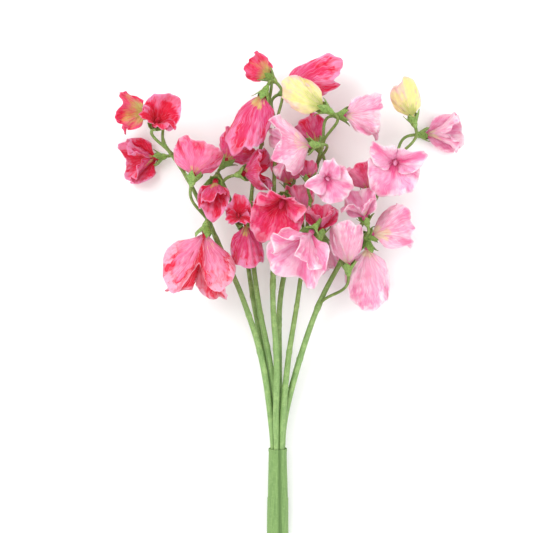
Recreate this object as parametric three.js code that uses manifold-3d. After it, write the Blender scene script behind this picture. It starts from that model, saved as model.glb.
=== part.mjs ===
// A bunch of sweet peas that lies on a table, in millimetres with +Z up.
// X runs across the bunch and Y along it, from the cut ends to the blooms. The table is Z = 0.

import * as THREE from "three";
import { mergeVertices } from "three/addons/utils/BufferGeometryUtils.js";
import Module from "manifold-3d";

// Driving dimensions.
const STEM_RADIUS = 2.6; // above the binding
const BOUND_RADIUS = 2; // where the tape presses the stems together
const STALK_RADIUS = 1.2; // the side stalks that carry the blooms
const PETAL_THICKNESS = 0.7;
const SEAT_GAP = 0.3; // between a bloom and its green cup, and round each stem in the binding
const BINDING_LENGTH = 75;
const BUNDLE_RISE = 0.1; // height that the bundle gains for each millimetre along it

// The middle of the bunch in its own measures, which becomes the origin on the table.
const MIDDLE_ACROSS = 9.1;
const MIDDLE_ALONG = 198.5;

// The bundle: one stem in the middle and six round it.
const STEM_PITCH = 2 * BOUND_RADIUS + 0.35;
const BUNDLE_TURN = -14; // degrees that the ring of stems and the groove in the tape stand off the top
const BUNDLE_SPREAD = 1.28; // how much wider the ring of stems is once they are free
const TAPE_WALL = 0.6;
const BINDING_END_RADIUS = 8.8;
const BINDING_TOP_RADIUS = STEM_PITCH + BOUND_RADIUS + SEAT_GAP + TAPE_WALL;
const BINDING_SEAM = 34; // from the cut end to the edge of the lower turn of tape
const SEAM_STEP = 0.4; // how much thinner the tape is above that edge
const BUNDLE_END_HEIGHT = BINDING_END_RADIUS - 1.2; // the tape is pressed flat where it would sink in
const BINDING_FLAT = 6; // length of the flat spot on which the tape rests
const GROOVE_DEPTH = 1.6; // between the two rounds of the binding
const GROOVE_WIDTH = 14; // degrees
const HOLE_OVERRUN = 5; // by which the holes for the stems are cut past both ends

// A stem is thin until it leaves the binding, widens while the bundle opens, and thins again to its tip.
const LEAVES_BINDING = 1.02 * BINDING_LENGTH;
const FREE_FROM = 1.3 * BINDING_LENGTH;
const THINS_AT = 0.4; // of its length
const TIP_THINNING = 0.5;

// How finely the surfaces are divided.
const STEM_SIDES = 6;
const STEM_STEPS = 10; // where it is free
const STALK_STEPS = 5;
const SEPALS = 5; // which is also the number of sides of a stalk
const BINDING_SIDES = 16;

// The neck of a bloom, where its petals hold together above the green cup.
const NECK_LENGTH = 3;
const NECK_RADIUS = 2.4;
const NECK_SIDES = 5;
const NECK_ROOT = 1; // of the neck among the petals
const KEEL = { halfWidth: 1.8, halfHeight: 2.6, halfLength: 7, ahead: 4.5 };
const KEEL_SIDES = 5;
const KEEL_RINGS = 3;
const CLAW = 1.3; // where a petal starts, measured from the neck's axis
const CLAW_SIDE = 0.25; // the claw's half width and its end, as shares of the petal's
const CLAW_END = 0.14;
const CLAW_SPREAD = 0.6; // a petal's angle at its claw, as a share of its angle at the rim

// The petals of a bloom of size 1. A petal is a fan round its claw: round and notch shape its rim, lean is
// the angle between blade and axis, and cup, roll and ruffle bend the blade across, along and at the rim.
// crease is the depth of the fold along its middle. The wings stand at their turns round the axis, in degrees
// from the banner, and in a folded bloom, a balloon or a bud they are one petal. The tips of the sepals stand
// at a height and a radius from the bloom's base.
const FORMS = {
  open: {
    banner: {
      length: 31, halfAngle: 108, round: 0.4, notch: 0.1,
      lean: 62, cup: 0.026, roll: 0.005, ruffle: 5, crease: 2.6,
    },
    wing: {
      length: 27, halfAngle: 54, round: 0.45, notch: 0.08,
      lean: 42, cup: 0.04, roll: 0.006, ruffle: 3.8, crease: 2.6,
    },
    wingTurns: [120, -120],
    sepalHeight: 2.5,
    sepalRadius: 7.5,
  },
  hanging: {
    banner: {
      length: 38, halfAngle: 84, round: 0.42, notch: 0.22,
      lean: 30, cup: 0.034, roll: 0.002, ruffle: 4.4, crease: 6,
    },
    wing: {
      length: 32, halfAngle: 40, round: 0.45, notch: 0.1,
      lean: 28, cup: 0.036, roll: 0.002, ruffle: 2.8, crease: 2,
    },
    wingTurns: [122, -122],
    sepalHeight: 4,
    sepalRadius: 7,
  },
  cupped: {
    banner: {
      length: 31, halfAngle: 84, round: 0.42, notch: 0.1,
      lean: 34, cup: 0.05, roll: 0.003, ruffle: 3.6, crease: 2.4,
    },
    wing: {
      length: 26, halfAngle: 44, round: 0.48, notch: 0.08,
      lean: 32, cup: 0.05, roll: 0.003, ruffle: 2.2, crease: 1.6,
    },
    wingTurns: [122, -122],
    sepalHeight: 4.5,
    sepalRadius: 6.5,
  },
  shell: {
    banner: {
      length: 35, halfAngle: 66, round: 0.42, notch: 0.08,
      lean: 22, cup: 0.054, roll: 0, ruffle: 3, crease: 2,
    },
    wing: {
      length: 30, halfAngle: 36, round: 0.48, notch: 0.08,
      lean: 26, cup: 0.05, roll: 0, ruffle: 2, crease: 1.4,
    },
    wingTurns: [124, -124],
    sepalHeight: 5.5,
    sepalRadius: 6,
  },
  drooping: {
    banner: {
      length: 45, halfAngle: 64, round: 0.42, notch: 0.5,
      lean: 26, cup: 0.03, roll: 0.001, ruffle: 5, crease: 6,
    },
    wing: {
      length: 43, halfAngle: 36, round: 0.45, notch: 0.06,
      lean: 20, cup: 0.03, roll: 0.001, ruffle: 3.4, crease: 2,
    },
    wingTurns: [128, -128],
    sepalHeight: 4.5,
    sepalRadius: 7,
  },
  folded: {
    banner: {
      length: 33, halfAngle: 58, round: 0.42, notch: -0.12,
      lean: 16, cup: 0.08, roll: 0, ruffle: 3.4, crease: 2.4,
    },
    wing: {
      length: 31, halfAngle: 42, round: 0.48, notch: 0.08,
      lean: 13, cup: 0.086, roll: 0, ruffle: 2, crease: 1.2,
    },
    wingTurns: [180],
    sepalHeight: 5.5,
    sepalRadius: 6,
  },
  balloon: {
    banner: {
      length: 37, halfAngle: 80, round: 0.44, notch: -0.04,
      lean: 42, cup: 0.062, roll: -0.021, ruffle: 2, crease: 1.4,
    },
    wing: {
      length: 29, halfAngle: 50, round: 0.5, notch: 0.06,
      lean: 22, cup: 0.05, roll: -0.006, ruffle: 1.4, crease: 1.2,
    },
    wingTurns: [180],
    sepalHeight: 5.5,
    sepalRadius: 6,
  },
  bud: {
    banner: {
      length: 27.2, halfAngle: 80, round: 0.45, notch: 0.05,
      lean: 20, cup: 0.068, roll: -0.004, ruffle: 1.8, crease: 1.2,
    },
    wing: {
      length: 23.12, halfAngle: 50, round: 0.5, notch: 0.06,
      lean: 17, cup: 0.066, roll: -0.004, ruffle: 0.8, crease: 1.2,
    },
    wingTurns: [180],
    sepalHeight: 5.6,
    sepalRadius: 6.3,
  },
};
const CLOSED_FORMS = ["shell", "folded", "balloon", "bud"]; // their petals hide the keel
const BANNER_STEP = 1.6; // how far up the neck the petals leave it, the banner below the wings
const WING_STEP = 2.8;
const BANNER_GRID = { columns: 8, rows: 3, step: BANNER_STEP };
const WING_GRID = { columns: 4, rows: 2, step: WING_STEP };
const RIM_TURN = 84; // degrees of the cosine that rounds a petal's rim, with round as its power
const NOTCH_WIDTH = 0.16; // in shares of the half angle
const CREASE_WIDTH = 0.25; // in shares of the half angle
const RUFFLE_TURNS = 4.2; // waves along the rim, in radians per radian of the fan
const FUNNEL_DEPTH = 5; // how far the blade stands in front of its claw
const FUNNEL_RADIUS = 6;

const FLAT_REACH = 1.8; // a petal that comes this close to the table lies flat on it

// A stalk follows its stem a little before it turns off, and bends over a share of its length at each end.
const STEM_PULL = 0.5;
const STALK_BEND = 0.4;

// The green cup behind a bloom.
const CUP_DEPTH = 7;
const CUP_RADIUS = 3;
const CUP_BELLY = 2.7;
const CUP_MOUTH = 2.55;
const BELLY_PLACE = 0.4; // of the cup's depth, from its mouth
const RIM_DROP = 0.8; // of the notches between the sepals, below the mouth
const CUP_GROWTH = 0.3; // how much of a bloom's size shows in its cup

// Colours of the sub-parts.
const COLOURS = {
  red: 0xe0335a,
  pink: 0xee6fa6,
  pale: 0xf9c3dc,
  yellow: 0xf3f0a8,
  stem: 0x6f9a48,
  binding: 0x79a558,
};

// The seven sprays, from left to right. place is the stem's angle in the bundle, or null for the middle one,
// and route is its way beyond the parallel part: across, along and height. Each bloom has the share of the
// stem at which its stalk leaves, the place of its base, the way it faces and the side of its banner.
const SPRAYS = [
  {
    name: "a",
    place: 180,
    route: [[-13, 148, 26], [-28, 196, 31], [-49, 244, 36], [-73, 294, 38], [-92, 322, 36]],
    blooms: [
      {
        leaves: 1, base: [-104, 347, 32], faces: [-0.95, 0.04, -0.05], top: [-0.1, 0.25, 0.97],
        size: 0.92, form: "cupped", colour: "red",
      },
      {
        leaves: 0.97, base: [-99, 335, 46], faces: [0.3, 0.45, 0.8], top: [0.4, 0.7, -0.6],
        size: 0.9, form: "cupped", colour: "red",
      },
      {
        leaves: 0.9, base: [-97, 312, 10], faces: [-0.95, -0.15, 0.2], top: [-0.2, 0, -1],
        size: 1.1, form: "cupped", colour: "red",
      },
      {
        leaves: 0.78, base: [-68, 293, 48], faces: [0.2, 0.9, -0.1], top: [0, 0.1, 1],
        size: 1.15, form: "cupped", colour: "pink",
      },
      {
        leaves: 0.74, base: [-58, 252, 50], faces: [-0.12, -0.95, 0.02], top: [-0.05, 0.1, 1],
        size: 1.33, form: "drooping", colour: "red",
      },
    ],
  },
  {
    name: "b",
    place: 240,
    route: [[-11, 148, 17], [-20, 196, 19], [-30, 256, 24], [-39, 278, 27], [-47, 294, 27]],
    blooms: [
      {
        leaves: 0.9, base: [-50, 292, 42], faces: [-0.05, -0.6, 0.75], top: [0, -0.75, -0.6],
        size: 1.05, form: "folded", colour: "red",
      },
      {
        leaves: 1, base: [-43, 307, 21], faces: [0.48, 0.6, 0], top: [-0.3, 0.2, 0.9],
        size: 0.97, form: "cupped", colour: "red",
      },
      {
        leaves: 0.9, base: [-31.5, 261, 46], faces: [0.02, 0.3, 0.9], top: [0, 0.9, -0.4],
        size: 0.62, form: "cupped", colour: "red",
      },
    ],
  },
  {
    name: "c",
    place: null,
    route: [[-7, 148, 23], [-16, 196, 27], [-22, 252, 28], [-20, 292, 28], [-13, 322, 34]],
    blooms: [
      {
        leaves: 1, base: [-11, 361, 50], faces: [-0.42, -0.92, 0.08], top: [-0.4, 0.3, 0.9],
        size: 1.05, form: "balloon", colour: "red",
      },
      {
        leaves: 0.7, base: [-29, 297, 42], faces: [0.85, 0.15, 0.3], top: [-0.3, 0.2, 1],
        size: 0.95, form: "cupped", colour: "red",
      },
      {
        leaves: 0.82, base: [-25.5, 259, 42], faces: [0.05, -1, 0], top: [0.1, 0, 1],
        size: 1.1, form: "folded", colour: "red",
      },
    ],
  },
  {
    name: "d",
    place: 120,
    route: [[-1, 148, 29], [-4, 196, 34], [-3, 244, 38], [-3, 292, 40], [-1, 336, 43]],
    blooms: [
      {
        leaves: 1, base: [-6, 374, 44], faces: [-0.75, 0.65, 0.1], top: [0.1, 0.3, 1],
        size: 0.85, form: "bud", colour: "red",
      },
      {
        leaves: 0.99, base: [6, 364, 34], faces: [0.85, 0.4, 0.1], top: [-0.2, 0.3, 0.9],
        size: 1, form: "balloon", colour: "red",
      },
      {
        leaves: 0.7, base: [5, 278, 47], faces: [-0.2, -0.5, 0.8], top: [-0.3, -1, -0.3],
        size: 1.25, form: "cupped", colour: "pink",
      },
      {
        leaves: 0.62, base: [9, 287, 24], faces: [-0.12, 0.95, 0.08], top: [0, -0.1, 1],
        size: 0.82, form: "shell", colour: "pink",
      },
    ],
  },
  {
    name: "e",
    place: 300,
    route: [[1, 148, 20], [2, 196, 20], [10, 236, 20], [26, 284, 26], [36, 322, 38]],
    blooms: [
      {
        leaves: 1, base: [38, 348, 54], faces: [-0.87, 0.48, 0.12], top: [0.1, 0.2, 1],
        size: 1.12, form: "folded", colour: "yellow",
      },
      {
        leaves: 0.99, base: [51, 344, 40], faces: [0.95, 0.05, 0.1], top: [0, 0.3, 1],
        size: 1.05, form: "shell", colour: "pale",
      },
      {
        leaves: 0.94, base: [27, 319, 58], faces: [-0.95, -0.08, 0.12], top: [0, 0.35, 1],
        size: 1.1, form: "hanging", colour: "pale",
      },
      {
        leaves: 0.86, base: [32, 320, 24], faces: [-0.5, 0.8, -0.1], top: [0, 0.3, 1],
        size: 0.9, form: "cupped", colour: "red",
      },
      {
        leaves: 0.88, base: [38, 294, 64], faces: [0.1, -0.3, 0.9], top: [0.7, -0.6, 0.1],
        size: 0.72, form: "open", colour: "pale",
      },
    ],
  },
  {
    name: "f",
    place: 60,
    route: [[8.5, 148, 28], [16, 196, 31], [23, 250, 36], [26, 276, 40]],
    blooms: [
      {
        leaves: 1, base: [24, 292, 46], faces: [0, 1, 0.1], top: [0, -0.1, 1],
        size: 0.55, form: "bud", colour: "pink",
      },
      {
        leaves: 0.86, base: [19, 266, 33], faces: [-0.1, 0.9, 0.05], top: [0, -0.2, 0.9],
        size: 0.9, form: "bud", colour: "pink",
      },
      {
        leaves: 0.86, base: [34, 250, 48], faces: [0.05, 0.9, 0.15], top: [0.1, 0.4, -0.8],
        size: 0.8, form: "cupped", colour: "pink",
      },
      {
        leaves: 0.82, base: [27, 251, 71], faces: [-0.5, -0.75, 0.48], top: [0.2, -0.3, -0.9],
        size: 1.2, form: "hanging", colour: "pale",
      },
      {
        leaves: 0.84, base: [36, 246, 18], faces: [0.1, -0.95, 0], top: [0, 0.1, 1],
        size: 1.05, form: "bud", colour: "pale",
      },
    ],
  },
  {
    name: "g",
    place: 0,
    route: [[18, 148, 21], [35, 196, 27], [55, 234, 31], [77, 274, 30], [94, 308, 26]],
    blooms: [
      {
        leaves: 1, base: [109, 341, 32], faces: [-0.3, 0.9, 0.1], top: [0, 0, 1],
        size: 0.98, form: "folded", colour: "yellow",
      },
      {
        leaves: 0.99, base: [119, 331, 6], faces: [0.95, 0.05, 0.05], top: [0.1, 0, -1],
        size: 1, form: "shell", colour: "pale",
      },
      {
        leaves: 0.96, base: [94, 307, 46], faces: [-0.1, -0.2, 1], top: [-0.2, -1, 0],
        size: 0.95, form: "open", colour: "pale",
      },
      {
        leaves: 0.86, base: [73, 283, 33], faces: [-0.25, 0.95, 0.05], top: [0, 0, 1],
        size: 0.95, form: "cupped", colour: "pink",
      },
      {
        leaves: 0.72, base: [74, 248, 34], faces: [0.9, 0.25, 0.1], top: [-0.1, 0.2, 1],
        size: 1.1, form: "shell", colour: "pale",
      },
      {
        leaves: 0.8, base: [72, 240, 30], faces: [0, -0.95, 0.05], top: [0.1, 0, 1],
        size: 1.5, form: "folded", colour: "pale",
      },
      {
        leaves: 0.6, base: [56, 222, 46], faces: [-0.05, 0.95, 0.1], top: [0, 0, 1],
        size: 1.12, form: "folded", colour: "pale",
      },
      {
        leaves: 0.76, base: [70, 260, 48], faces: [-0.3, 0.8, 0.4], top: [0, 0.6, -0.7],
        size: 0.8, form: "cupped", colour: "pale",
      },
    ],
  },
];

const wasm = await Module();
wasm.setup();

const vector = (triple) => new THREE.Vector3(...triple);

// A number from 0 to 1 that is always the same for the same seed.
function chance(seed) {
  const value = Math.sin(seed * 12.9898) * 43758.5453;
  return value - Math.floor(value);
}

// A closed mesh as a solid that can be joined and cut.
function solidOf(geometry) {
  const bare = geometry.clone();
  bare.deleteAttribute("normal");
  bare.deleteAttribute("uv");
  const merged = mergeVertices(bare, 1e-4);
  return new wasm.Manifold(
    new wasm.Mesh({
      numProp: 3,
      vertProperties: new Float32Array(merged.attributes.position.array),
      triVerts: new Uint32Array(merged.index.array),
    }),
  );
}

// Parts joined into one body. A hollow that the joining seals is filled, and a loose scrap is dropped.
function joined(parts) {
  const bodies = parts.reduce((whole, part) => whole.add(part)).decompose();
  return bodies.reduce((largest, body) => (body.volume() > largest.volume() ? body : largest));
}

function geometryOf(solid) {
  const { vertProperties, triVerts, numProp } = solid.getMesh();
  const geometry = new THREE.BufferGeometry();
  const points = new THREE.InterleavedBuffer(vertProperties, numProp);
  geometry.setAttribute("position", new THREE.InterleavedBufferAttribute(points, 3, 0));
  geometry.setIndex(new THREE.BufferAttribute(triVerts, 1));
  return geometry;
}

function geometryFrom(points, triangles) {
  const geometry = new THREE.BufferGeometry();
  geometry.setFromPoints(points);
  geometry.setIndex(triangles.flat());
  return geometry;
}

// The frame of a bloom: x to its right, y to its banner, z the way it faces, with the origin at its base.
function bloomFrame({ base, faces, top }) {
  const forward = vector(faces).normalize();
  const right = vector(top).cross(forward).normalize();
  const up = forward.clone().cross(right);
  return new THREE.Matrix4().makeBasis(right, up, forward).setPosition(vector(base));
}

// A point of a petal's middle surface. u runs from side to side in -1 to 1, and v from claw to rim in 0 to 1.
function petalPoint(petal, size, phase, step, u, v) {
  const length = petal.length * size;
  const halfAngle = THREE.MathUtils.degToRad(petal.halfAngle);
  const lean = THREE.MathUtils.degToRad(petal.lean);
  const angle = u * halfAngle * (CLAW_SPREAD + (1 - CLAW_SPREAD) * Math.sqrt(v));
  const rounding = Math.cos(u * THREE.MathUtils.degToRad(RIM_TURN)) ** petal.round;
  const rim = length * rounding * (1 - petal.notch * Math.exp(-((u / NOTCH_WIDTH) ** 2)));
  const reach = CLAW + (rim - CLAW) * v;
  const aside = reach * Math.sin(angle);
  const out = reach * Math.cos(angle);
  const cup = petal.cup / size;
  const opening = 1 - Math.exp(-((reach / FUNNEL_RADIUS / size) ** 2));
  const funnel = FUNNEL_DEPTH * size * Math.sin(lean) ** 2 * opening;
  const lift =
    (1 - Math.cos(cup * aside)) / cup -
    (petal.roll / size) * out * Math.abs(out) -
    petal.crease * size * v * Math.exp(-((u / CREASE_WIDTH) ** 2)) +
    petal.ruffle * size * v ** 1.5 * Math.sin(RUFFLE_TURNS * angle + phase);
  return new THREE.Vector3(
    Math.sin(cup * aside) / cup,
    out * Math.sin(lean) - lift * Math.cos(lean),
    step + funnel + out * Math.cos(lean) + lift * Math.sin(lean),
  );
}

// A petal as a closed thin solid, with both faces divided alike. Its claw is a narrow strip, from which
// triangles fan out to the first row of the blade. What would sink into the table lies flat on it.
function petalSolid(petal, size, phase, { columns, rows, step }, placing) {
  const half = PETAL_THICKNESS / 2;
  const claw = [[-CLAW_SIDE, 0], [CLAW_SIDE, 0], [-CLAW_SIDE, CLAW_END], [CLAW_SIDE, CLAW_END]];
  const middle = claw.map(([u, v]) => petalPoint(petal, size, phase, step, u, v));
  for (let row = 1; row <= rows; row += 1) {
    for (let column = 0; column <= columns; column += 1) {
      middle.push(petalPoint(petal, size, phase, step, (2 * column) / columns - 1, row / rows));
    }
  }
  middle.forEach((point) => point.applyMatrix4(placing));
  const at = (column, row) => claw.length + (row - 1) * (columns + 1) + column;
  const sheet = [[0, 1, 3], [0, 3, 2], [2, 3, at(columns / 2, 1)]];
  for (let column = 0; column < columns; column += 1) {
    sheet.push([column < columns / 2 ? 2 : 3, at(column + 1, 1), at(column, 1)]);
    for (let row = 1; row < rows; row += 1) {
      const [a, b] = [at(column, row), at(column + 1, row)];
      const [c, d] = [at(column + 1, row + 1), at(column, row + 1)];
      sheet.push([a, b, c], [a, c, d]);
    }
  }
  const surface = geometryFrom(middle, sheet);
  surface.computeVertexNormals();
  const { normal } = surface.attributes;
  const normals = middle.map((_, i) => new THREE.Vector3().fromBufferAttribute(normal, i));
  const pressed = middle.map((_, i) => i).filter((i) => middle[i].z < FLAT_REACH);
  const side = Math.sign(pressed.reduce((sum, i) => sum + normals[i].z, 0)) || 1;
  pressed.forEach((i) => {
    middle[i].z = half;
    normals[i].set(0, 0, side);
  });
  const front = middle.map((point, i) => point.clone().addScaledVector(normals[i], half));
  const back = middle.map((point, i) => point.clone().addScaledVector(normals[i], -half));
  const count = middle.length;
  const triangles = [...sheet, ...sheet.map(([a, b, c]) => [a + count, c + count, b + count])];
  const edge = [0, 1, 3];
  for (let row = 1; row < rows; row += 1) edge.push(at(columns, row));
  for (let column = columns; column > 0; column -= 1) edge.push(at(column, rows));
  for (let row = rows; row > 0; row -= 1) edge.push(at(0, row));
  edge.push(2);
  edge.forEach((a, i) => {
    const b = edge[(i + 1) % edge.length];
    triangles.push([a, a + count, b + count], [a, b + count, b]);
  });
  return solidOf(geometryFrom([...front, ...back], triangles));
}

// The keel: a small boat between the wings.
function keelSolid(size, placing) {
  const keel = new THREE.SphereGeometry(1, KEEL_SIDES, KEEL_RINGS);
  keel.rotateX(Math.PI / 2);
  keel.scale(KEEL.halfWidth * size, KEEL.halfHeight * size, KEEL.halfLength * size);
  keel.translate(0, 0, NECK_LENGTH + KEEL.ahead * size);
  return solidOf(keel.applyMatrix4(placing));
}

function neckSolid(placing) {
  const neck = new THREE.CylinderGeometry(NECK_RADIUS, NECK_RADIUS, NECK_LENGTH + NECK_ROOT, NECK_SIDES);
  neck.rotateX(Math.PI / 2);
  neck.translate(0, 0, (NECK_LENGTH + NECK_ROOT) / 2);
  return solidOf(neck.applyMatrix4(placing));
}

// One bloom: a banner and wings on their neck, and the keel where the wings leave it in sight.
function bloomSolid(bloom, seed) {
  const placing = bloomFrame(bloom);
  const { banner, wing, wingTurns } = FORMS[bloom.form];
  const { size } = bloom;
  const phase = (step) => 2 * Math.PI * chance(seed + step);
  const parts = [petalSolid(banner, size, phase(0.1), BANNER_GRID, placing)];
  wingTurns.forEach((degrees, i) => {
    const turned = new THREE.Matrix4().makeRotationZ(THREE.MathUtils.degToRad(degrees));
    turned.premultiply(placing);
    parts.push(petalSolid(wing, size, phase(0.3 + i), WING_GRID, turned));
  });
  if (!CLOSED_FORMS.includes(bloom.form)) parts.push(keelSolid(size, placing));
  parts.push(neckSolid(placing));
  return joined(parts);
}

// The rings of a round rod at shares of a curve. The first point of a ring lies on the side that is given.
function rodRings(curve, shares, towards, sides, radiusAt) {
  return shares.map((share) => {
    const way = curve.getTangentAt(share);
    const aside = towards.clone().addScaledVector(way, -towards.dot(way)).normalize();
    return ringOf(curve.getPointAt(share), aside, way.clone().cross(aside), sides, radiusAt(share));
  });
}

const evenShares = (steps) => Array.from({ length: steps + 1 }, (_, step) => step / steps);

function ringOf(middle, aside, up, sides, radius, turn = 0) {
  return Array.from({ length: sides }, (_, side) => {
    const angle = (2 * Math.PI * (side + turn)) / sides;
    const point = middle.clone().addScaledVector(aside, radius * Math.cos(angle));
    return point.addScaledVector(up, radius * Math.sin(angle));
  });
}

// A closed solid through rings of points. A ring may have twice the points of its neighbour.
function loftSolid(rings) {
  const triangles = [];
  let start = 0;
  rings.slice(0, -1).forEach((ring, i) => {
    const next = rings[i + 1];
    const [a, b] = [start, start + ring.length];
    const count = Math.min(ring.length, next.length);
    for (let side = 0; side < count; side += 1) {
      const turned = (side + 1) % count;
      if (ring.length === next.length) {
        triangles.push([a + side, a + turned, b + turned], [a + side, b + turned, b + side]);
      } else if (ring.length < next.length) {
        const [p, q, r] = [b + 2 * side, b + 2 * side + 1, b + 2 * turned];
        triangles.push([a + side, q, p], [a + side, a + turned, q], [a + turned, r, q]);
      } else {
        const [p, q, r] = [a + 2 * side, a + 2 * side + 1, a + 2 * turned];
        triangles.push([b + side, p, q], [b + side, q, b + turned], [b + turned, q, r]);
      }
    }
    start = b;
  });
  const fan = (first, count, outward) => {
    for (let side = 1; side < count - 1; side += 1) {
      const [b, c] = outward ? [side, side + 1] : [side + 1, side];
      triangles.push([first, first + b, first + c]);
    }
  };
  fan(0, rings[0].length, false);
  fan(start, rings.at(-1).length, true);
  return solidOf(geometryFrom(rings.flat(), triangles));
}

// The bundle's own directions, turned so that its up runs through the groove.
const bundleWay = new THREE.Vector3(0, 1, BUNDLE_RISE).normalize();
const bundleTurn = THREE.MathUtils.degToRad(BUNDLE_TURN);
const bundleRight = new THREE.Vector3(1, 0, 0).applyAxisAngle(bundleWay, -bundleTurn);
const bundleUp = bundleRight.clone().cross(bundleWay);
const inBundle = (along) => new THREE.Vector3(0, 0, BUNDLE_END_HEIGHT).addScaledVector(bundleWay, along);

// A stem's middle at a distance from the cut end, while it runs in the bundle.
function stemInBundle(place, along, spread = 1) {
  if (place === null) return inBundle(along);
  const angle = THREE.MathUtils.degToRad(place);
  const middle = inBundle(along).addScaledVector(bundleRight, spread * STEM_PITCH * Math.cos(angle));
  return middle.addScaledVector(bundleUp, spread * STEM_PITCH * Math.sin(angle));
}

function stemCurve({ place, route }) {
  const parallel = [[0, 1], [BINDING_LENGTH / 2, 1], [LEAVES_BINDING, 1], [FREE_FROM, BUNDLE_SPREAD]];
  const knots = parallel.map(([along, spread]) => stemInBundle(place, along, spread));
  return new THREE.CatmullRomCurve3([...knots, ...route.map(vector)]);
}

// The main rod of a spray, before its side stalks.
function stemSolid(curve) {
  const length = curve.getLength();
  const free = evenShares(STEM_STEPS).map((share) => THREE.MathUtils.lerp(FREE_FROM / length, 1, share));
  const radius = (share) => {
    const widened = THREE.MathUtils.smoothstep(share * length, LEAVES_BINDING, FREE_FROM);
    const thinned = 1 - TIP_THINNING * Math.max(0, (share - THINS_AT) / (1 - THINS_AT));
    return THREE.MathUtils.lerp(BOUND_RADIUS, STEM_RADIUS, widened) * thinned;
  };
  return loftSolid(rodRings(curve, [0, LEAVES_BINDING / length, ...free], bundleRight, STEM_SIDES, radius));
}

// The stalk from the stem to a bloom, with the green cup at its end. Five pointed sepals rise from the cup
// round the bloom's neck.
function stalkSolid(curve, bloom) {
  const { base, faces, top, size, form, leaves } = bloom;
  const forward = vector(faces).normalize();
  const right = vector(top).cross(forward).normalize();
  const up = forward.clone().cross(right);
  const scale = 1 + CUP_GROWTH * (size - 1);
  const along = (distance) => vector(base).addScaledVector(forward, distance);
  const end = along(-CUP_DEPTH * scale);
  const start = curve.getPointAt(leaves);
  const reach = start.distanceTo(end) * STALK_BEND;
  const leaving = end.clone().sub(start).normalize();
  leaving.addScaledVector(curve.getTangentAt(leaves), STEM_PULL).normalize();
  const stalk = new THREE.CubicBezierCurve3(
    start,
    start.clone().addScaledVector(leaving, reach),
    end.clone().addScaledVector(forward, -reach),
    end,
  );
  const rings = rodRings(stalk, evenShares(STALK_STEPS), right, SEPALS, () => STALK_RADIUS);
  const { sepalHeight, sepalRadius } = FORMS[form];
  const belly = ringOf(along(-CUP_DEPTH * BELLY_PLACE * scale), right, up, SEPALS, CUP_BELLY * scale);
  const notches = ringOf(along(-SEAT_GAP - RIM_DROP), right, up, SEPALS, CUP_RADIUS * scale, 0.5);
  const tips = ringOf(along(sepalHeight * scale), right, up, SEPALS, sepalRadius * scale);
  const rim = tips.flatMap((tip, i) => [tip, notches[i]]);
  const mouth = ringOf(along(-SEAT_GAP), right, up, SEPALS, CUP_MOUTH);
  return loftSolid([...rings, belly, rim, mouth]);
}

// One stem with its side stalks and green cups.
function spraySolid(spray) {
  const curve = stemCurve(spray);
  return joined([stemSolid(curve), ...spray.blooms.map((bloom) => stalkSolid(curve, bloom))]);
}

// The tape round the lower end, with a groove along its upper side and a hole for each stem.
function bindingSolid() {
  const turns = [
    [0, BINDING_END_RADIUS],
    [BINDING_FLAT, BINDING_END_RADIUS],
    [BINDING_SEAM, BINDING_END_RADIUS],
    [BINDING_SEAM + 2 * SEAM_STEP, BINDING_END_RADIUS - SEAM_STEP],
    [BINDING_LENGTH, BINDING_TOP_RADIUS],
  ];
  const turnsOfTape = turns.map(([along, radius]) => {
    const ring = ringOf(inBundle(along), bundleUp, bundleRight, BINDING_SIDES, 1);
    return ring.map((point, side) => {
      const degrees = (360 * side) / BINDING_SIDES;
      const fromTop = Math.min(degrees, 360 - degrees);
      const groove = GROOVE_DEPTH * Math.exp(-((fromTop / GROOVE_WIDTH) ** 2));
      const moved = inBundle(along).lerp(point, radius - groove);
      moved.z = Math.max(moved.z, 0);
      return moved;
    });
  });
  const sleeve = SPRAYS.reduce((left, { place }) => {
    const ends = [-HOLE_OVERRUN, BINDING_LENGTH + HOLE_OVERRUN].map((along) => stemInBundle(place, along));
    const hole = new THREE.LineCurve3(...ends);
    const rings = rodRings(hole, [0, 1], bundleRight, STEM_SIDES, () => BOUND_RADIUS + SEAT_GAP);
    return left.subtract(loftSolid(rings));
  }, loftSolid(turnsOfTape));
  return joined([sleeve]);
}

function meshOf(name, solid, colour, roughness) {
  const material = new THREE.MeshStandardMaterial({ color: COLOURS[colour], roughness, metalness: 0 });
  const mesh = new THREE.Mesh(geometryOf(solid), material);
  mesh.name = name;
  return mesh;
}

const bunch = new THREE.Group();
bunch.position.set(-MIDDLE_ACROSS, -MIDDLE_ALONG, 0);
bunch.add(meshOf("binding_wrap", bindingSolid(), "binding", 0.7));
SPRAYS.forEach((spray, order) => {
  bunch.add(meshOf(`stem_${spray.name}`, spraySolid(spray), "stem", 0.65));
  spray.blooms.forEach((bloom, i) => {
    const name = `bloom_${spray.name}${i + 1}`;
    bunch.add(meshOf(name, bloomSolid(bloom, order * 10 + i), bloom.colour, 0.75));
  });
});

export default bunch;
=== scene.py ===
# A bunch of sweet peas that lies on a table: ruffled petals, green cups, stems and the wrapped binding.

import math
from typing import NamedTuple

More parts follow.
